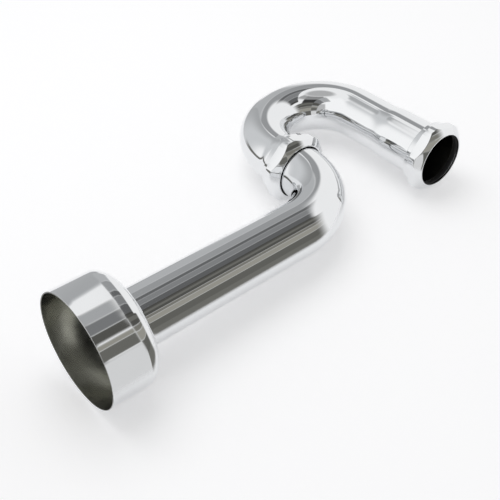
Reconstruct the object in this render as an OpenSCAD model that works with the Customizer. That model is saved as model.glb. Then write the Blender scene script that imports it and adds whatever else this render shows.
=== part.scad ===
// Tubular P-trap for a basin waste, lying on its side as it comes to rest.
// A U-shaped trap bend takes a bent wall tube in its outlet socket.
// A hexagonal slip nut with a rubber washer closes each socket, and a deep
// box flange slides on the wall tube to cover the hole in the wall.
// The origin is the centre of the inlet socket's mouth. +Y points out of the
// inlet, +X runs along the wall tube towards the wall, and +Z is up.

/* [Tube] */
// Outside diameter of the tube
tube_od = 31.75; // [25:0.25:45]
// Wall thickness of the tube and of the sockets
tube_wall = 0.7; // [0.5:0.05:1]
// Radial clearance of a tube in a socket
socket_clear = 0.25; // [0.15:0.025:0.3]

/* [Trap bend] */
// Distance between the centres of the two legs
leg_spacing = 68.5; // [60:0.5:90]
// Length of the inlet leg, from the U to the socket's mouth
inlet_leg = 64.6; // [55:0.1:120]
// Depth of the inlet socket
inlet_socket = 34; // [20:0.5:40]
// Length over which the inlet leg widens to its socket
inlet_taper = 7; // [3:0.5:10]
// Length of the outlet leg, from the U to the socket's mouth
outlet_leg = 15.4; // [15:0.1:60]
// Depth of the outlet socket
outlet_socket = 12; // [11.8:0.1:12.2]
// Length over which the outlet leg widens to its socket
outlet_taper = 2.8; // [2:0.1:3]
// Thickness that the threaded end adds outside the socket wall
thread_build = 1.1; // [0.8:0.05:1.5]
// Length of the threaded end
thread_len = 7.6; // [5:0.1:8]

/* [Slip nuts] */
// Length of a nut along its axis
nut_len = 12.4; // [11:0.1:15]
// Least wall between a nut's thread and its flats
nut_wall = 1.65; // [1.4:0.05:3]
// How far the corners of the hexagon are turned down
nut_corner_cut = 1.3; // [0.8:0.1:2]
// Length of the round skirt at the back of a nut
skirt_len = 3.5; // [2:0.1:5]
// Wall of the round skirt
skirt_wall = 1.15; // [0.9:0.05:1.3]
// Length of the chamfer behind the hexagon's corners
hex_chamfer = 0.8; // [0.4:0.1:1.2]
// Length of the dome at the corners
dome_len = 4; // [3:0.1:5]
// Width of the flat rim round a nut's opening
rim_width = 0.7; // [0.4:0.05:1]
// Thickness of the lip that holds the washer
lip_t = 1.3; // [1:0.1:1.8]
// Length of the tapered seat behind the lip
seat_taper = 2.1; // [1.5:0.1:2.4]
// Ledge between a nut's opening and the small end of its seat
seat_ledge = 0.4; // [0.2:0.05:0.6]
// Radial clearance of the tube in a nut's opening
opening_clear = 0.625; // [0.4:0.025:0.8]
// Radial gap between the threaded end and a nut's bore, which the threads fill
thread_gap = 0.45; // [0.3:0.05:0.6]
// Turn of a nut's lowest corner from straight down, in degrees
nut_turn = 12; // [0:1:30]

/* [Washers] */
// Thickness of a washer
washer_t = 2.5; // [2:0.1:2.6]
// Clearance between a washer and what is round it
washer_play = 0.2; // [0.1:0.05:0.25]
// Radial clearance of the tube in a washer's hole
washer_grip = 0.05; // [0.025:0.025:0.1]

/* [Wall tube] */
// Depth that the wall tube reaches into the outlet socket
insert_depth = 11.4; // [9:0.1:11.8]
// Straight length between the socket's mouth and the bend
neck_len = 3.4; // [3:0.1:20]
// Radius of the bend, at the middle of the tube
wall_bend_r = 39.5; // [34:0.5:60]
// Straight length from the bend to the tube's open end
wall_run = 113.7; // [90:0.1:300]

/* [Box flange] */
// Outside diameter of the flange
flange_od = 62.3; // [56:0.1:80]
// Depth of the flange, from its back to its rim
flange_depth = 29; // [20:0.5:40]
// Radius of the rounded corner at the flange's back
flange_corner = 8; // [4:0.5:9]
// Wall thickness of the flange
flange_wall = 0.7; // [0.5:0.05:1]
// Radial clearance of the tube in the flange's hole
flange_clear = 0.1; // [0.05:0.05:0.3]
// Length of the tube's end that stands past the flange's back
tube_show = 4; // [2:0.5:20]

/* [Hidden] */
$fn = 96;

chrome = [0.86, 0.87, 0.89];
black_rubber = [0.05, 0.05, 0.05];

// Length by which a cut runs past the face that it opens
past = 1;

tube_r = tube_od / 2;
bore_r = tube_r - tube_wall;
socket_r = tube_r + socket_clear;
thread_r = socket_r + tube_wall + thread_build;

// Sizes of a slip nut, whose front stands past the mouth by the lip, the washer and its play
nut_bore_r = thread_r + thread_gap;
flat_r = nut_bore_r + nut_wall;
corner_r = flat_r / cos(30) - nut_corner_cut;
skirt_r = nut_bore_r + skirt_wall;
opening_r = tube_r + opening_clear;
seat_r = opening_r + seat_ledge;
seat_end = nut_len - lip_t;
seat_start = seat_end - seat_taper;
washer_end = seat_end - washer_play;
washer_start = washer_end - washer_t;
mouth_in_nut = washer_start - washer_play;

// The dome is a ball that passes through the corners' front end and the rim's outer edge
dome_start = nut_len - dome_len;
rim_r = opening_r + rim_width;
dome_z = ((corner_r ^ 2 + dome_start ^ 2) - (rim_r ^ 2 + nut_len ^ 2)) / (2 * (dome_start - nut_len));
dome_r = sqrt(rim_r ^ 2 + (nut_len - dome_z) ^ 2);

// Places along the wall tube, measured from the outlet leg's axis
bend_y = outlet_leg + neck_len;
tube_end = wall_bend_r + wall_run;
flange_back = tube_end - tube_show;
flange_r = flange_od / 2;

// Lying at rest, the nuts' lowest corners and the flange's belly touch the same floor
corner_half_arc = 30 - acos(flat_r / corner_r);
nut_drop = corner_r * cos(max(0, nut_turn - corner_half_arc));
belly = flange_back + flange_corner;
rest_swing = atan2(flange_r, belly) - asin(nut_drop / norm([flange_r, belly]));

// Turns a shape that stands on +Z so that it points along +Y
module along_y() {
    rotate([-90, 0, 0]) children();
}

// Moves a shape from the U's own frame, where the inlet leg starts at the centre
module trap_frame() {
    translate([0, -inlet_leg, 0]) children();
}

// Swings a shape about the outlet leg's axis to where the wall tube lies at rest
module wall_frame() {
    trap_frame() translate([leg_spacing, 0, 0]) rotate([0, -rest_swing, 0]) children();
}

// A quarter or half ring of round bar, from angle start, turning through sweep
module ring_bar(bend_r, bar_r, start, sweep) {
    rotate([0, 0, start]) rotate_extrude(angle = sweep) translate([bend_r, 0]) circle(bar_r);
}

// A round leg that widens from one radius to another near its mouth
module leg_bar(length, socket, taper, leg_r, mouth_r, extra) {
    along_y() rotate_extrude()
        polygon([
            [0, 0],
            [leg_r, 0],
            [leg_r, length - socket - taper],
            [mouth_r, length - socket],
            [mouth_r, length + extra],
            [0, length + extra]
        ]);
}

// The U and its two legs as solid bars, for the outside and again for the bore
module trap_bars(leg_r, mouth_r, extra) {
    translate([leg_spacing / 2, 0, 0]) ring_bar(leg_spacing / 2, leg_r, 180, 180);
    leg_bar(inlet_leg, inlet_socket, inlet_taper, leg_r, mouth_r, extra);
    translate([leg_spacing, 0, 0])
        leg_bar(outlet_leg, outlet_socket, outlet_taper, leg_r, mouth_r, extra);
}

// The threaded end of a leg, whose fine thread is not cut
module thread_bar(length) {
    translate([0, length - thread_len, 0]) along_y() cylinder(r = thread_r, h = thread_len);
}

module trap_bend() {
    color(chrome) trap_frame() difference() {
        union() {
            trap_bars(tube_r, socket_r + tube_wall, 0);
            thread_bar(inlet_leg);
            translate([leg_spacing, 0, 0]) thread_bar(outlet_leg);
        }
        trap_bars(bore_r, socket_r, past);
    }
}

// The wall tube as a solid bar, for the outside and again for the bore
module wall_bars(bar_r, extra) {
    start_y = outlet_leg - insert_depth - extra;
    translate([0, start_y, 0]) along_y() cylinder(r = bar_r, h = bend_y - start_y);
    translate([wall_bend_r, bend_y, 0]) ring_bar(wall_bend_r, bar_r, 90, 90);
    translate([wall_bend_r, bend_y + wall_bend_r, 0])
        rotate([0, 90, 0]) cylinder(r = bar_r, h = wall_run + extra);
}

module wall_tube() {
    color(chrome) wall_frame() difference() {
        wall_bars(tube_r, 0);
        wall_bars(bore_r, past);
    }
}

// The outside of a nut: a hexagon behind a dome, with a round skirt at its back
module nut_outside() {
    intersection() {
        union() {
            rotate([0, 0, 90 + nut_turn]) cylinder(r = flat_r / cos(30), h = nut_len, $fn = 6);
            cylinder(r = skirt_r, h = skirt_len);
        }
        rotate_extrude()
            polygon([
                [0, 0],
                [skirt_r, 0],
                [skirt_r, skirt_len],
                [flat_r, skirt_len],
                [corner_r, skirt_len + hex_chamfer],
                [corner_r, nut_len],
                [0, nut_len]
            ]);
        translate([0, 0, dome_z]) sphere(r = dome_r);
    }
}

// The inside of a nut: its thread's bore, the tapered seat and the opening
module nut_inside() {
    rotate_extrude()
        polygon([
            [0, -past],
            [nut_bore_r, -past],
            [nut_bore_r, seat_start],
            [seat_r, seat_end],
            [opening_r, seat_end],
            [opening_r, nut_len + past],
            [0, nut_len + past]
        ]);
}

module slip_nut(leg) {
    translate([0, leg - mouth_in_nut, 0]) along_y() difference() {
        nut_outside();
        nut_inside();
    }
}

module inlet_nut() {
    color(chrome) trap_frame() slip_nut(inlet_leg);
}

module outlet_nut() {
    color(chrome) trap_frame() translate([leg_spacing, 0, 0]) slip_nut(outlet_leg);
}

// A rubber washer, tapered like the seat that it fills
module slip_washer(leg) {
    hole_r = tube_r + washer_grip;
    slope = (nut_bore_r - seat_r) / seat_taper;
    outer_r = nut_bore_r - washer_play;
    nose_r = seat_r + slope * (seat_end - washer_end) - washer_play;
    translate([0, leg - mouth_in_nut, 0]) along_y() rotate_extrude()
        polygon([
            [hole_r, washer_start],
            [outer_r, washer_start],
            [outer_r, seat_start],
            [nose_r, washer_end],
            [hole_r, washer_end]
        ]);
}

module inlet_washer() {
    color(black_rubber) trap_frame() slip_washer(inlet_leg);
}

module outlet_washer() {
    color(black_rubber) trap_frame() translate([leg_spacing, 0, 0]) slip_washer(outlet_leg);
}

// Half section of a cup with a rounded corner, standing on its floor
module cup_section(outer_r, corner, floor_z, height) {
    translate([0, floor_z]) square([outer_r - corner, height - floor_z]);
    translate([0, floor_z + corner]) square([outer_r, height - floor_z - corner]);
    intersection() {
        translate([outer_r - corner, floor_z + corner]) circle(corner);
        square([outer_r, height]);
    }
}

module box_flange() {
    color(chrome) wall_frame() translate([flange_back, bend_y + wall_bend_r, 0]) rotate([0, 90, 0])
        rotate_extrude() difference() {
            cup_section(flange_r, flange_corner, 0, flange_depth);
            cup_section(flange_r - flange_wall, flange_corner - flange_wall, flange_wall, flange_depth + past);
            translate([0, -past]) square([tube_r + flange_clear, flange_wall + 2 * past]);
        }
}

trap_bend();
wall_tube();
inlet_nut();
outlet_nut();
inlet_washer();
outlet_washer();
box_flange();
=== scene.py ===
import math

import bmesh
import bpy
from mathutils import Matrix, Vector


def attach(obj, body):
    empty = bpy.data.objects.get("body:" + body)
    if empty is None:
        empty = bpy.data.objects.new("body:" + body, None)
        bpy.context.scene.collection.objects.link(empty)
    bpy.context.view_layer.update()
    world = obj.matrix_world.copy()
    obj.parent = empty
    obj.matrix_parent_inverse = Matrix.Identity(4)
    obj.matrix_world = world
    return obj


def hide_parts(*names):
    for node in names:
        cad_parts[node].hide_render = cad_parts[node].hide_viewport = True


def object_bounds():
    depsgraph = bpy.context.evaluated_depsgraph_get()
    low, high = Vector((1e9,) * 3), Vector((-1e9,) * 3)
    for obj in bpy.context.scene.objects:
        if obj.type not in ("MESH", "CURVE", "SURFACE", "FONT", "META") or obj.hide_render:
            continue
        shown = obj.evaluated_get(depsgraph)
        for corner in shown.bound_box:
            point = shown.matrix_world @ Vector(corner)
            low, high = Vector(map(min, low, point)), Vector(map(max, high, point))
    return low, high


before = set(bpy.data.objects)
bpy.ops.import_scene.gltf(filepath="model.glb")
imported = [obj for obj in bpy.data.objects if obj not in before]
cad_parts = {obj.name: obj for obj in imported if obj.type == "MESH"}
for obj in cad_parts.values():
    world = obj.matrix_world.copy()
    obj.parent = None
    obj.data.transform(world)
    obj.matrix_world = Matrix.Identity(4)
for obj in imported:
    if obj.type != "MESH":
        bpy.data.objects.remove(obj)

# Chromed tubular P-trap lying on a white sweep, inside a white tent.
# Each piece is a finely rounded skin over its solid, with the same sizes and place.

CAD_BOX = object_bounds()

# Millimetres to metres
MM = 0.001

# Tube, sockets and threads, in millimetres
TUBE_R = 15.875
TUBE_WALL = 0.7
BORE_R = TUBE_R - TUBE_WALL
SOCKET_R = TUBE_R + 0.25
SHOULDER_R = SOCKET_R + TUBE_WALL
THREAD_R = SHOULDER_R + 1.1
THREAD_LEN = 7.6

# Trap bend
LEG_SPACING = 68.5
U_RADIUS = LEG_SPACING / 2
INLET_LEG = 64.6
INLET_SOCKET = 34.0
INLET_TAPER = 7.0
OUTLET_LEG = 15.4
OUTLET_SOCKET = 12.0
OUTLET_TAPER = 2.8

# Slip nuts, measured from a nut's back along its axis
NUT_LEN = 12.4
NUT_BORE_R = THREAD_R + 0.45
FLAT_R = NUT_BORE_R + 1.65
CORNER_R = FLAT_R / math.cos(math.radians(30)) - 1.3
SKIRT_R = NUT_BORE_R + 1.15
SKIRT_LEN = 3.5
CHAMFER_LEN = 0.8
OPENING_R = TUBE_R + 0.625
RIM_R = OPENING_R + 0.7
SEAT_R = OPENING_R + 0.4
SEAT_END = NUT_LEN - 1.3
SEAT_START = SEAT_END - 2.1
WASHER_END = SEAT_END - 0.2
WASHER_START = WASHER_END - 2.5
MOUTH_IN_NUT = WASHER_START - 0.2
DOME_START = NUT_LEN - 4.0
DOME_Z = ((CORNER_R**2 + DOME_START**2) - (RIM_R**2 + NUT_LEN**2)) / (2 * (DOME_START - NUT_LEN))
DOME_R = math.hypot(RIM_R, NUT_LEN - DOME_Z)
NUT_TURN = 12.0
# Softness of the turned-down corners of the hexagon
CORNER_BLEND = 0.25

# Wall tube and box flange
INSERT_DEPTH = 11.4
BEND_Y = OUTLET_LEG + 3.4
BEND_R = 39.5
WALL_RUN = 113.7
FLANGE_R = 31.15
FLANGE_DEPTH = 29.0
FLANGE_CORNER = 8.0
FLANGE_WALL = 0.7
FLANGE_HOLE_R = TUBE_R + 0.1
FLANGE_BACK = BEND_R + WALL_RUN - 4.0

# The wall tube's swing about the outlet leg, at which nuts and flange touch one floor
CORNER_HALF_ARC = 30 - math.degrees(math.acos(FLAT_R / CORNER_R))
NUT_DROP = CORNER_R * math.cos(math.radians(NUT_TURN - CORNER_HALF_ARC))
BELLY = FLANGE_BACK + FLANGE_CORNER
REST_SWING = math.atan2(FLANGE_R, BELLY) - math.asin(NUT_DROP / math.hypot(FLANGE_R, BELLY))

# Camera found from the photograph: its place in metres and the three axes of its picture
CAMERA_PLACE = Vector((0.3360, 0.2406, 0.2988))
CAMERA_RIGHT = Vector((-0.76072, 0.64788, -0.03945))
CAMERA_DOWN = Vector((0.46208, 0.49788, -0.73390))
CAMERA_FORWARD = Vector((-0.45583, -0.57652, -0.67812))
CAMERA_LENS = 59.16
SENSOR = 36.0

# The wall tube's axis: its direction, the direction square to it, and a point on it in metres
WALL_AXIS = Vector((math.cos(REST_SWING), 0.0, math.sin(REST_SWING)))
WALL_UP = Vector((-math.sin(REST_SWING), 0.0, math.cos(REST_SWING)))
WALL_POINT = Vector((LEG_SPACING, BEND_Y + BEND_R - INLET_LEG, 0.0)) * MM + WALL_AXIS * BEND_R * MM

# Finishes: what the plating gives back of a white surface
CHROME = (0.80, 0.81, 0.82)
CHROME_ROUGHNESS = 0.045


class Nodes:
    """Short ways to add and join the nodes of one material or world."""

    def __init__(self, tree):
        self.tree = tree
        self.tree.nodes.clear()

    def add(self, kind, **settings):
        node = self.tree.nodes.new(kind)
        for name, value in settings.items():
            setattr(node, name, value)
        return node

    def put(self, socket, value):
        if isinstance(value, bpy.types.NodeSocket):
            self.tree.links.new(value, socket)
        else:
            socket.default_value = value

    def math(self, operation, *values):
        node = self.add("ShaderNodeMath", operation=operation)
        for socket, value in zip(node.inputs, values):
            self.put(socket, value)
        return node.outputs[0]

    def dot(self, first, second):
        node = self.add("ShaderNodeVectorMath", operation="DOT_PRODUCT")
        self.put(node.inputs[0], first)
        self.put(node.inputs[1], second)
        return node.outputs["Value"]

    def minus(self, first, second):
        node = self.add("ShaderNodeVectorMath", operation="SUBTRACT")
        self.put(node.inputs[0], first)
        self.put(node.inputs[1], second)
        return node.outputs["Vector"]

    def step(self, value, start, end):
        """Smooth rise from 0 at start to 1 at end, or a fall where end is the lower one."""
        node = self.add("ShaderNodeMapRange", interpolation_type="SMOOTHSTEP")
        self.put(node.inputs["Value"], value)
        self.put(node.inputs["From Min"], start)
        self.put(node.inputs["From Max"], end)
        return node.outputs["Result"]

    def mix(self, factor, first, second):
        node = self.add("ShaderNodeMix", data_type="RGBA")
        self.put(node.inputs["Factor"], factor)
        self.put(node.inputs["A"], first)
        self.put(node.inputs["B"], second)
        return node.outputs["Result"]

    def split(self, vector):
        node = self.add("ShaderNodeSeparateXYZ")
        self.put(node.inputs[0], vector)
        return node.outputs

    def turn(self, rise, run):
        """Angle in degrees of the direction with this rise and run."""
        return self.math("MULTIPLY", self.math("ARCTAN2", rise, run), math.degrees(1.0))

    def card_mask(self, coordinates, edges):
        """How much of a card shows: edges give low, high and the two fades of a coordinate."""
        mask = 1.0
        for name, (low, high, low_fade, high_fade) in edges.items():
            rise = self.step(coordinates[name], low - low_fade / 2, low + low_fade / 2)
            fall = self.step(coordinates[name], high + high_fade / 2, high - high_fade / 2)
            mask = self.math("MULTIPLY", mask, self.math("MULTIPLY", rise, fall))
        return mask


def new_nodes(owner):
    owner.use_nodes = True
    return Nodes(owner.node_tree)


def shade(level, tint=(1.0, 1.0, 1.0)):
    return (level * tint[0], level * tint[1], level * tint[2], 1.0)


# The tent's inside as the chrome sees it. A card has a brightness, a tint, and for each
# coordinate its low edge, high edge and the widths over which these two fade.
NEUTRAL = (1.0, 1.0, 1.0)
OLIVE = (1.0, 0.99, 0.90)
BEIGE = (1.0, 0.97, 0.86)
COOL = (0.97, 0.985, 1.0)

# Stretch of the tent that only the wall tube mirrors, as the cosine along its axis
LONG = (-0.63, -0.345, 0.10, 0.01)
LONG_TOP = (-0.60, -0.345, 0.08, 0.01)

# Far cards, by direction: azimuth and elevation, or along and around the wall tube, in degrees
WORLD_CARDS = [
    ("side curtain", 0.70, COOL, {"azimuth": (-118, -52, 5, 40), "elevation": (-30, 53, 5, 5)}),
    ("curtain fold", 0.46, COOL, {"azimuth": (-117, -98, 5, 30), "elevation": (-30, 50, 5, 8)}),
    ("upper crease", 0.48, COOL, {"azimuth": (-108, -78, 6, 20), "elevation": (51, 58, 3, 4)}),
    ("key light", 1.10, NEUTRAL,{"azimuth": (-50, 26, 22, 6), "elevation": (2, 64, 6, 10)}),
    ("front curtain", 0.55, NEUTRAL, {"azimuth": (28, 107, 5, 4), "elevation": (-40, 38, 5, 5)}),
    ("doorway frame", 0.15, NEUTRAL, {"azimuth": (42, 112, 4, 4), "elevation": (37, 61, 3, 3)}),
    ("doorway", 0.045, NEUTRAL, {"azimuth": (56, 109, 5, 4), "elevation": (45, 58, 3, 3)}),
    ("lintel", 0.30, NEUTRAL, {"azimuth": (28, 122, 6, 12), "elevation": (61, 73, 3, 4)}),
    ("upper corner", 0.42, NEUTRAL, {"azimuth": (112, 150, 6, 14), "elevation": (60, 73, 8, 4)}),
    ("roof", 0.50, NEUTRAL, {"elevation": (74, 95, 8, 1)}),
    ("slate card, back", 0.135, COOL, {"along": LONG, "around": (60, 82, 3, 3)}),
    ("seam", 0.068, OLIVE, {"along": LONG, "around": (57, 64, 2, 2)}),
    ("top card", 0.26, COOL, {"along": LONG, "around": (82, 101, 4, 4)}),
    ("top seam", 0.155, COOL, {"along": LONG, "around": (101, 114, 4, 5)}),
    ("back card", 0.37, COOL, {"along": LONG_TOP, "around": (114, 143, 5, 6)}),
    ("far card", 0.52, COOL, {"along": LONG_TOP, "around": (143, 185, 6, 6)}),
    ("table beyond the flange", 0.16, OLIVE, {"azimuth": (-70, 30, 20, 20), "elevation": (-70, 0, 5, 3)}),
]

# Near cards stand in an arch round the wall tube: place along X in metres, and degrees around it
ARCH_RADIUS = 0.30
ARCH_LOW, ARCH_HIGH = -62.0, 100.0
WALL_REACH = (-0.20, 0.115, 0.18, 0.01)
FLANGE_REACH = (0.115, 0.26, 0.01, 0.04)
ARCH_CARDS = [
    ("olive card", 0.18, OLIVE, {"x": WALL_REACH, "around": (-60, 13, 4, 5)}),
    ("olive card, top", 0.14, OLIVE, {"x": WALL_REACH, "around": (-12, 13, 4, 4)}),
    ("beige card", 0.355, BEIGE, {"x": WALL_REACH, "around": (13, 30, 4, 4)}),
    ("beige card, back", 0.22, BEIGE, {"x": WALL_REACH, "around": (30, 40, 4, 4)}),
    ("slate card", 0.095, OLIVE, {"x": WALL_REACH, "around": (40, 60, 3, 3)}),
    ("slate card, front", 0.17, OLIVE, {"x": WALL_REACH, "around": (49, 56, 2, 2)}),
    ("flange floor", 0.76, NEUTRAL, {"x": FLANGE_REACH, "around": (-60, 10, 4, 8)}),
    ("flange olive", 0.157, OLIVE, {"x": FLANGE_REACH, "around": (12, 31, 3, 3)}),
    ("flange beige", 0.33, BEIGE, {"x": FLANGE_REACH, "around": (31, 39, 3, 4)}),
    ("flange slate", 0.10, OLIVE, {"x": FLANGE_REACH, "around": (42, 58, 6, 3)}),
    ("flange top", 0.22, COOL, {"x": FLANGE_REACH, "around": (58, 77, 4, 4)}),
    ("flange back", 0.45, COOL, {"x": FLANGE_REACH, "around": (77, 97, 5, 6)}),
]


def studio_world():
    """White to the camera, the tent to the chrome, and plain white light on the floor."""
    world = bpy.data.worlds.new("studio")
    bpy.context.scene.world = world
    nodes = new_nodes(world)
    ray = nodes.add("ShaderNodeTexCoord").outputs["Generated"]
    x, y, z = nodes.split(ray)
    coordinates = {
        "azimuth": nodes.turn(y, x),
        "elevation": nodes.math("MULTIPLY", nodes.math("ARCSINE", z), math.degrees(1.0)),
        "along": nodes.dot(ray, WALL_AXIS),
        "around": nodes.turn(nodes.dot(ray, WALL_UP), y),
    }
    colour = shade(1.0)
    for name, level, tint, edges in WORLD_CARDS:
        colour = nodes.mix(nodes.card_mask(coordinates, edges), colour, shade(level, tint))
    path = nodes.add("ShaderNodeLightPath").outputs
    mirrored = nodes.math("MAXIMUM", path["Is Glossy Ray"], path["Is Transmission Ray"])
    ambient = nodes.mix(path["Is Camera Ray"], shade(0.55), shade(1.0))
    background = nodes.add("ShaderNodeBackground")
    nodes.put(background.inputs["Color"], nodes.mix(mirrored, ambient, colour))
    output = nodes.add("ShaderNodeOutputWorld")
    nodes.put(output.inputs["Surface"], background.outputs[0])


def arch_material():
    material = bpy.data.materials.new("tent_arch")
    nodes = new_nodes(material)
    place = nodes.minus(nodes.add("ShaderNodeNewGeometry").outputs["Position"], WALL_POINT)
    coordinates = {
        "x": nodes.math("ADD", nodes.split(place)[0], WALL_POINT.x),
        "around": nodes.turn(nodes.dot(place, WALL_UP), nodes.split(place)[1]),
    }
    colour = shade(ARCH_CARDS[0][1], ARCH_CARDS[0][2])
    cover = 0.0
    for name, level, tint, edges in ARCH_CARDS:
        mask = nodes.card_mask(coordinates, edges)
        colour = nodes.mix(mask, colour, shade(level, tint))
        cover = nodes.math("MAXIMUM", cover, mask)
    glow = nodes.add("ShaderNodeEmission")
    nodes.put(glow.inputs["Color"], colour)
    clear = nodes.add("ShaderNodeBsdfTransparent")
    surface = nodes.add("ShaderNodeMixShader")
    nodes.put(surface.inputs[0], cover)
    nodes.put(surface.inputs[1], clear.outputs[0])
    nodes.put(surface.inputs[2], glow.outputs[0])
    output = nodes.add("ShaderNodeOutputMaterial")
    nodes.put(output.inputs["Surface"], surface.outputs[0])
    return material


def link(name, mesh):
    piece = bpy.data.objects.new(name, mesh)
    bpy.context.collection.objects.link(piece)
    return piece


def arch():
    """Near cards of the tent, which only reflections see."""
    steps = 48
    ends = (-0.40, 0.30)
    points = []
    for x in ends:
        for i in range(steps + 1):
            angle = math.radians(ARCH_LOW + (ARCH_HIGH - ARCH_LOW) * i / steps)
            out = Vector((0, math.cos(angle), 0)) + WALL_UP * math.sin(angle)
            points.append(WALL_POINT + WALL_AXIS * (x - WALL_POINT.x) + out * ARCH_RADIUS)
    faces = [(i, i + 1, steps + 2 + i, steps + 1 + i) for i in range(steps)]
    mesh = bpy.data.meshes.new("tent_arch")
    mesh.from_pydata(points, [], faces)
    mesh.materials.append(arch_material())
    piece = link("tent_arch", mesh)
    piece.visible_camera = False
    piece.visible_diffuse = False
    piece.visible_shadow = False


def floor_material():
    material = bpy.data.materials.new("white_sweep")
    nodes = new_nodes(material)
    x, y, z = nodes.split(nodes.add("ShaderNodeNewGeometry").outputs["Position"])
    path = nodes.add("ShaderNodeLightPath").outputs
    mirrored = nodes.math("MAXIMUM", path["Is Glossy Ray"], path["Is Transmission Ray"])
    seen = nodes.math("MAXIMUM", path["Is Camera Ray"], mirrored)
    diffuse = nodes.add("ShaderNodeBsdfDiffuse")
    nodes.put(diffuse.inputs["Color"], (0.86, 0.86, 0.87, 1.0))
    glow = nodes.add("ShaderNodeEmission")
    nodes.put(glow.inputs["Strength"], nodes.math("MULTIPLY", seen, 0.30))
    lit = nodes.add("ShaderNodeAddShader")
    nodes.put(lit.inputs[0], diffuse.outputs[0])
    nodes.put(lit.inputs[1], glow.outputs[0])
    # In the chrome the sweep shows only close to the object, with the tent's cards beyond it
    near = nodes.math("MULTIPLY", nodes.step(y, 0.056, 0.030), nodes.step(y, -0.30, -0.20))
    near = nodes.math("MULTIPLY", near, nodes.step(x, 0.262, 0.250))
    hidden = nodes.math("MULTIPLY", mirrored, nodes.math("SUBTRACT", 1.0, near))
    clear = nodes.add("ShaderNodeBsdfTransparent")
    surface = nodes.add("ShaderNodeMixShader")
    nodes.put(surface.inputs[0], hidden)
    nodes.put(surface.inputs[1], lit.outputs[0])
    nodes.put(surface.inputs[2], clear.outputs[0])
    output = nodes.add("ShaderNodeOutputMaterial")
    nodes.put(output.inputs["Surface"], surface.outputs[0])
    return material


def floor():
    reach = 3.0
    height = CAD_BOX[0][2]
    corners = [(-reach, -reach), (reach, -reach), (reach, reach), (-reach, reach)]
    mesh = bpy.data.meshes.new("floor")
    mesh.from_pydata([(x, y, height) for x, y in corners], [], [(0, 1, 2, 3)])
    mesh.materials.append(floor_material())
    link("floor", mesh)


def soft_lamp(name, place, target, size, power):
    lamp = bpy.data.lights.new(name, "AREA")
    lamp.shape = "DISK"
    lamp.size = size
    lamp.energy = power
    holder = bpy.data.objects.new(name, lamp)
    bpy.context.collection.objects.link(holder)
    holder.location = place
    holder.rotation_euler = (Vector(target) - Vector(place)).to_track_quat("-Z", "Y").to_euler()
    holder.visible_glossy = False


def camera():
    data = bpy.data.cameras.new("camera")
    data.lens = CAMERA_LENS
    data.sensor_width = SENSOR
    data.sensor_fit = "HORIZONTAL"
    data.clip_start = 0.01
    holder = bpy.data.objects.new("camera", data)
    bpy.context.collection.objects.link(holder)
    turn = Matrix((CAMERA_RIGHT, -CAMERA_DOWN, -CAMERA_FORWARD)).transposed()
    holder.matrix_world = Matrix.Translation(CAMERA_PLACE) @ turn.to_4x4()
    bpy.context.scene.camera = holder


# Finishes

def noise(nodes, place, scale, detail):
    node = nodes.add("ShaderNodeTexNoise")
    nodes.put(node.inputs["Vector"], place)
    node.inputs["Scale"].default_value = scale
    node.inputs["Detail"].default_value = detail
    return node.outputs[0]


def metal(name, colour, roughness, ripple_height, ripple_scale=90.0, colour_spread=0.015):
    """Plated or bare metal with a faint haze, a slight tone change and a slight ripple."""
    material = bpy.data.materials.new(name)
    nodes = new_nodes(material)
    shader = nodes.add("ShaderNodeBsdfPrincipled")
    shader.inputs["Metallic"].default_value = 1.0
    place = nodes.add("ShaderNodeTexCoord").outputs["Object"]
    haze = noise(nodes, place, 60.0, 4.0)
    rough = nodes.add("ShaderNodeMapRange")
    nodes.put(rough.inputs["Value"], haze)
    rough.inputs["From Min"].default_value = 0.3
    rough.inputs["From Max"].default_value = 0.7
    rough.inputs["To Min"].default_value = roughness * 0.75
    rough.inputs["To Max"].default_value = roughness * 1.25
    darker = shade(1.0 - colour_spread, colour)
    lighter = shade(1.0 + colour_spread, colour)
    nodes.put(shader.inputs["Base Color"], nodes.mix(haze, darker, lighter))
    nodes.put(shader.inputs["Roughness"], rough.outputs["Result"])
    bump = nodes.add("ShaderNodeBump")
    bump.inputs["Distance"].default_value = ripple_height
    nodes.put(bump.inputs["Height"], noise(nodes, place, ripple_scale, 2.0))
    nodes.put(shader.inputs["Normal"], bump.outputs[0])
    output = nodes.add("ShaderNodeOutputMaterial")
    nodes.put(output.inputs["Surface"], shader.outputs[0])
    return material


def rubber():
    material = bpy.data.materials.new("rubber")
    nodes = new_nodes(material)
    shader = nodes.add("ShaderNodeBsdfPrincipled")
    place = nodes.add("ShaderNodeTexCoord").outputs["Object"]
    grain = noise(nodes, place, 900.0, 2.0)
    nodes.put(shader.inputs["Base Color"], nodes.mix(grain, shade(0.010), shade(0.024)))
    shader.inputs["Roughness"].default_value = 0.62
    bump = nodes.add("ShaderNodeBump")
    bump.inputs["Distance"].default_value = 0.00006
    nodes.put(bump.inputs["Height"], grain)
    nodes.put(shader.inputs["Normal"], bump.outputs[0])
    output = nodes.add("ShaderNodeOutputMaterial")
    nodes.put(output.inputs["Surface"], shader.outputs[0])
    return material


# Outlines: a corner is (along, out, radius, finish), and its finish holds up to the next corner

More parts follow.
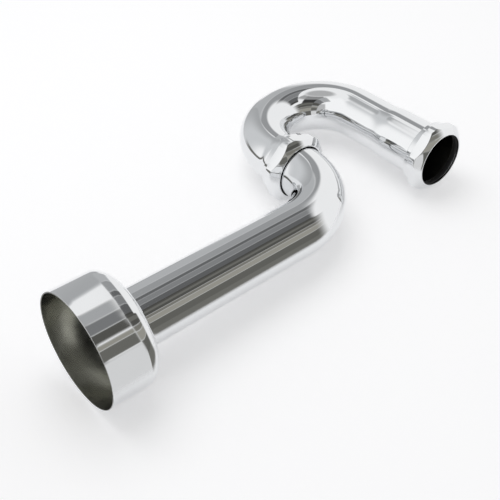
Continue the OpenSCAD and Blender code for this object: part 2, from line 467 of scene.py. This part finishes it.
def rounded(corners, steps=4):
    """Closed outline with an arc at each corner, as (along, out, finish) points."""
    count = len(corners)
    outline = []
    for i, (along, out, radius, finish) in enumerate(corners):
        last, following = corners[i - 1], corners[(i + 1) % count]
        here = Vector((along, out))
        before = Vector(last[:2]) - here
        after = Vector(following[:2]) - here
        if min(before.length, after.length) < 1e-6 or radius == 0:
            outline.append((along, out, finish))
            continue
        # Two arcs on one edge share it by their radii
        room_before = 0.98 * before.length * radius / (radius + last[2])
        room_after = 0.98 * after.length * radius / (radius + following[2])
        half = before.angle(after) / 2
        reach = min(radius / math.tan(half), room_before, room_after)
        middle = here + (before.normalized() + after.normalized()).normalized() * reach / math.cos(half)
        start = here + before.normalized() * reach - middle
        end = here + after.normalized() * reach - middle
        sweep = math.pi - 2 * half
        for k in range(steps + 1):
            t = k / steps
            arm = (start * math.sin((1 - t) * sweep) + end * math.sin(t * sweep)) / math.sin(sweep)
            outline.append((middle.x + arm.x, middle.y + arm.y, last[3] if t < 0.5 else finish))
    return outline


def subdivided(outline, longest):
    """The same outline with no stretch longer than this along the axis."""
    fine = []
    for i, (along, out, finish) in enumerate(outline):
        next_along, next_out, _ = outline[(i + 1) % len(outline)]
        pieces = max(1, math.ceil(abs(next_along - along) / longest))
        for k in range(pieces):
            t = k / pieces
            fine.append((along + (next_along - along) * t, out + (next_out - out) * t, finish))
    return fine


def skin(name, outlines, place, finishes):
    """Closed surface from one outline for each angle round the axis. place() puts a point."""
    count = len(outlines)
    rows = len(outlines[0])
    points = []
    for i, outline in enumerate(outlines):
        angle = 2 * math.pi * i / count
        points += [place(along, out, angle) * MM for along, out, _ in outline]
    faces = []
    bands = []
    for i in range(count):
        here, after = i * rows, ((i + 1) % count) * rows
        for j in range(rows):
            k = (j + 1) % rows
            faces.append((here + j, after + j, after + k, here + k))
            bands.append(outlines[i][j][2])
    mesh = bpy.data.meshes.new(name)
    mesh.from_pydata(points, [], faces)
    for material in finishes:
        mesh.materials.append(material)
    mesh.polygons.foreach_set("material_index", bands)
    shape = bmesh.new()
    shape.from_mesh(mesh)
    bmesh.ops.remove_doubles(shape, verts=shape.verts, dist=1e-7)
    bmesh.ops.dissolve_degenerate(shape, edges=shape.edges, dist=1e-7)
    bmesh.ops.recalc_face_normals(shape, faces=shape.faces)
    for face in shape.faces:
        face.smooth = True
    shape.to_mesh(mesh)
    shape.free()
    return link(name, mesh)


def turned(name, corners, place, finishes, columns=180, longest=3.0):
    outline = subdivided(rounded(corners), longest)
    return skin(name, [outline] * columns, place, finishes)


# Places in the part's frame, in millimetres

def trap_place(along, out, angle):
    """Along runs from the inlet's mouth, round the U, to the outlet's mouth."""
    turn = min(max((along - INLET_LEG) / U_RADIUS, 0.0), math.pi)
    side = Vector((-math.cos(turn), -math.sin(turn), 0.0))
    centre = Vector((U_RADIUS, -INLET_LEG, 0.0)) + side * U_RADIUS
    if along < INLET_LEG:
        centre.y = -along
    centre.y += max(along - INLET_LEG - math.pi * U_RADIUS, 0.0)
    return centre + (side * math.cos(angle) + Vector((0, 0, 1)) * math.sin(angle)) * out


def wall_place(along, out, angle):
    """Along runs from the tube's end in the outlet socket to its end at the wall."""
    before_bend = BEND_Y - (OUTLET_LEG - INSERT_DEPTH)
    turn = min(max((along - before_bend) / BEND_R, 0.0), math.pi / 2)
    side = Vector((-math.cos(turn), math.sin(turn), 0.0))
    centre = Vector((BEND_R, BEND_Y, 0.0)) + side * BEND_R
    centre.y -= max(before_bend - along, 0.0)
    centre.x += max(along - before_bend - BEND_R * math.pi / 2, 0.0)
    local = centre + (side * math.cos(angle) + Vector((0, 0, 1)) * math.sin(angle)) * out
    return swung(local)


def swung(local):
    """From the outlet leg's own frame to the part's frame."""
    turn = Matrix.Rotation(-REST_SWING, 3, "Y")
    return turn @ local + Vector((LEG_SPACING, -INLET_LEG, 0.0))


def flange_place(along, out, angle):
    across = BEND_Y + BEND_R + out * math.cos(angle)
    return swung(Vector((FLANGE_BACK + along, across, out * math.sin(angle))))


def nut_place(leg_x, mouth_y):
    """Places of a nut or washer, whose along starts at the nut's back."""
    def place(along, out, angle):
        x = leg_x + out * math.cos(angle)
        return Vector((x, mouth_y - MOUTH_IN_NUT + along, out * math.sin(angle)))
    return place


# Pieces

OUTER, INNER = 0, 1
# Rounding of the drawn steps and turned edges
EDGE = 0.18
DRAWN = 60.0


def leg_corners(mouth, turned_back, socket, taper):
    """Outside of a leg from its mouth inward. turned_back is +1 where along grows inward."""
    def at(depth):
        return mouth + turned_back * depth
    return [
        (at(0), THREAD_R, EDGE, OUTER),
        (at(THREAD_LEN), THREAD_R, EDGE, OUTER),
        (at(THREAD_LEN + 0.5), SHOULDER_R, EDGE, OUTER),
        (at(socket), SHOULDER_R, DRAWN, OUTER),
        (at(socket + taper), TUBE_R, DRAWN, OUTER),
    ]


def bore_corners(mouth, turned_back, socket, taper):
    def at(depth):
        return mouth + turned_back * depth
    return [
        (at(socket + taper), BORE_R, DRAWN, INNER),
        (at(socket), SOCKET_R, DRAWN, INNER),
        (at(0), SOCKET_R, EDGE, OUTER),
    ]


def trap_bend(finishes):
    length = INLET_LEG + math.pi * U_RADIUS + OUTLET_LEG
    outside = leg_corners(0.0, 1, INLET_SOCKET, INLET_TAPER)
    outside += leg_corners(length, -1, OUTLET_SOCKET, OUTLET_TAPER)[::-1]
    inside = bore_corners(length, -1, OUTLET_SOCKET, OUTLET_TAPER)[::-1]
    inside = [(a, r, e, INNER) for a, r, e, _ in inside]
    inside += bore_corners(0.0, 1, INLET_SOCKET, INLET_TAPER)
    piece = turned("trap_bend_skin", outside + inside, trap_place, finishes, 144, 2.0)
    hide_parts("trap_bend")
    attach(piece, "trap_bend")


def wall_tube(finishes):
    length = BEND_Y - (OUTLET_LEG - INSERT_DEPTH) + BEND_R * math.pi / 2 + WALL_RUN
    corners = [
        (0.0, BORE_R, EDGE, OUTER),
        (0.0, TUBE_R, EDGE, OUTER),
        (length, TUBE_R, EDGE, OUTER),
        (length, BORE_R, EDGE, INNER),
    ]
    piece = turned("wall_tube_skin", corners, wall_place, finishes, 144, 2.0)
    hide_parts("wall_tube")
    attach(piece, "wall_tube")


def box_flange(finishes):
    corners = [
        (0.0, FLANGE_HOLE_R, EDGE, OUTER),
        (0.0, FLANGE_R, FLANGE_CORNER, OUTER),
        (FLANGE_DEPTH, FLANGE_R, EDGE, OUTER),
        (FLANGE_DEPTH, FLANGE_R - FLANGE_WALL, EDGE, INNER),
        (FLANGE_WALL, FLANGE_R - FLANGE_WALL, FLANGE_CORNER - FLANGE_WALL, INNER),
        (FLANGE_WALL, FLANGE_HOLE_R, EDGE, OUTER),
    ]
    outline = subdivided(rounded(corners, 14), 3.0)
    piece = skin("box_flange_skin", [outline] * 240, flange_place, finishes)
    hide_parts("box_flange")
    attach(piece, "box_flange")


def soft_least(first, second, blend):
    """The smaller of two lengths, rounded where they are alike."""
    part = max(blend - abs(first - second), 0.0) / blend
    return min(first, second) - part * part * blend / 4


def nut_outline(angle):
    """Section of a nut at an angle round its axis, from +X towards +Z."""
    corner = math.radians(-90 - NUT_TURN)
    from_flat = (angle - corner) % math.radians(60) - math.radians(30)
    side = soft_least(FLAT_R / math.cos(from_flat), CORNER_R, CORNER_BLEND)
    chamfer_r = (FLAT_R + CORNER_R) / 2
    chamfer_end = SKIRT_LEN + CHAMFER_LEN * max(0.0, side - chamfer_r) / (CORNER_R - chamfer_r)
    dome_meets = DOME_Z + math.sqrt(DOME_R**2 - side**2)
    corners = [
        (0.0, NUT_BORE_R, EDGE, OUTER),
        (0.0, SKIRT_R, 0.3, OUTER),
        (SKIRT_LEN, SKIRT_R, 0.15, OUTER),
        (SKIRT_LEN, min(side, chamfer_r), 0.12, OUTER),
        (chamfer_end + 0.01, side, 0.3, OUTER),
        (dome_meets, side, 0.5, OUTER),
    ]
    dome_steps = 8
    for k in range(1, dome_steps):
        along = dome_meets + (NUT_LEN - dome_meets) * k / dome_steps
        corners.append((along, math.sqrt(DOME_R**2 - (along - DOME_Z) ** 2), 0, OUTER))
    corners += [
        (NUT_LEN, RIM_R, 0.2, OUTER),
        (NUT_LEN, OPENING_R, 0.2, OUTER),
        (SEAT_END, OPENING_R, 0.1, OUTER),
        (SEAT_END, SEAT_R, 0, OUTER),
        (SEAT_START, NUT_BORE_R, 0, OUTER),
    ]
    return rounded(corners)


def slip_nut(name, leg_x, mouth_y, finishes):
    columns = 480
    outlines = [nut_outline(2 * math.pi * i / columns) for i in range(columns)]
    piece = skin(name + "_skin", outlines, nut_place(leg_x, mouth_y), finishes)
    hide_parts(name)
    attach(piece, name)


def slip_washer(name, leg_x, mouth_y, finishes):
    hole_r = TUBE_R + 0.05
    slope = (NUT_BORE_R - SEAT_R) / (SEAT_END - SEAT_START)
    outer_r = NUT_BORE_R - 0.2
    nose_r = SEAT_R + slope * (SEAT_END - WASHER_END) - 0.2
    corners = [
        (WASHER_START, hole_r, EDGE, OUTER),
        (WASHER_START, outer_r, EDGE, OUTER),
        (SEAT_START, outer_r, EDGE, OUTER),
        (WASHER_END, nose_r, EDGE, OUTER),
        (WASHER_END, hole_r, EDGE, OUTER),
    ]
    piece = turned(name + "_skin", corners, nut_place(leg_x, mouth_y), finishes, 144, 3.0)
    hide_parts(name)
    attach(piece, name)


camera()
studio_world()
arch()
floor()
soft_lamp("overhead", (0.12, -0.30, 0.95), (0.10, -0.03, 0.0), 0.9, 3.0)

tube_chrome = metal("tube_chrome", CHROME, CHROME_ROUGHNESS, 0.00001)
nut_chrome = metal("nut_chrome", CHROME, CHROME_ROUGHNESS, 0.00001)
flange_chrome = metal("flange_chrome", CHROME, CHROME_ROUGHNESS, 0.00001)
flange_inside = metal("flange_inside", (0.60, 0.60, 0.56), 0.22, 0.00002)
# Bores of the trap and wall tube: dull metal darkened almost to black, painted shade for the deep inside
# of the tubes
bore_painted_shade = metal("bore_painted_shade", (0.09, 0.088, 0.080), 0.38, 0.00003)
seal_rubber = rubber()

trap_bend([tube_chrome, bore_painted_shade])
wall_tube([tube_chrome, bore_painted_shade])
box_flange([flange_chrome, flange_inside])
INLET = (0.0, 0.0)
OUTLET = (LEG_SPACING, OUTLET_LEG - INLET_LEG)
slip_nut("inlet_nut", *INLET, [nut_chrome])
slip_nut("outlet_nut", *OUTLET, [nut_chrome])
slip_washer("inlet_washer", *INLET, [seal_rubber])
slip_washer("outlet_washer", *OUTLET, [seal_rubber])

scene = bpy.context.scene
scene.view_settings.view_transform = "Standard"
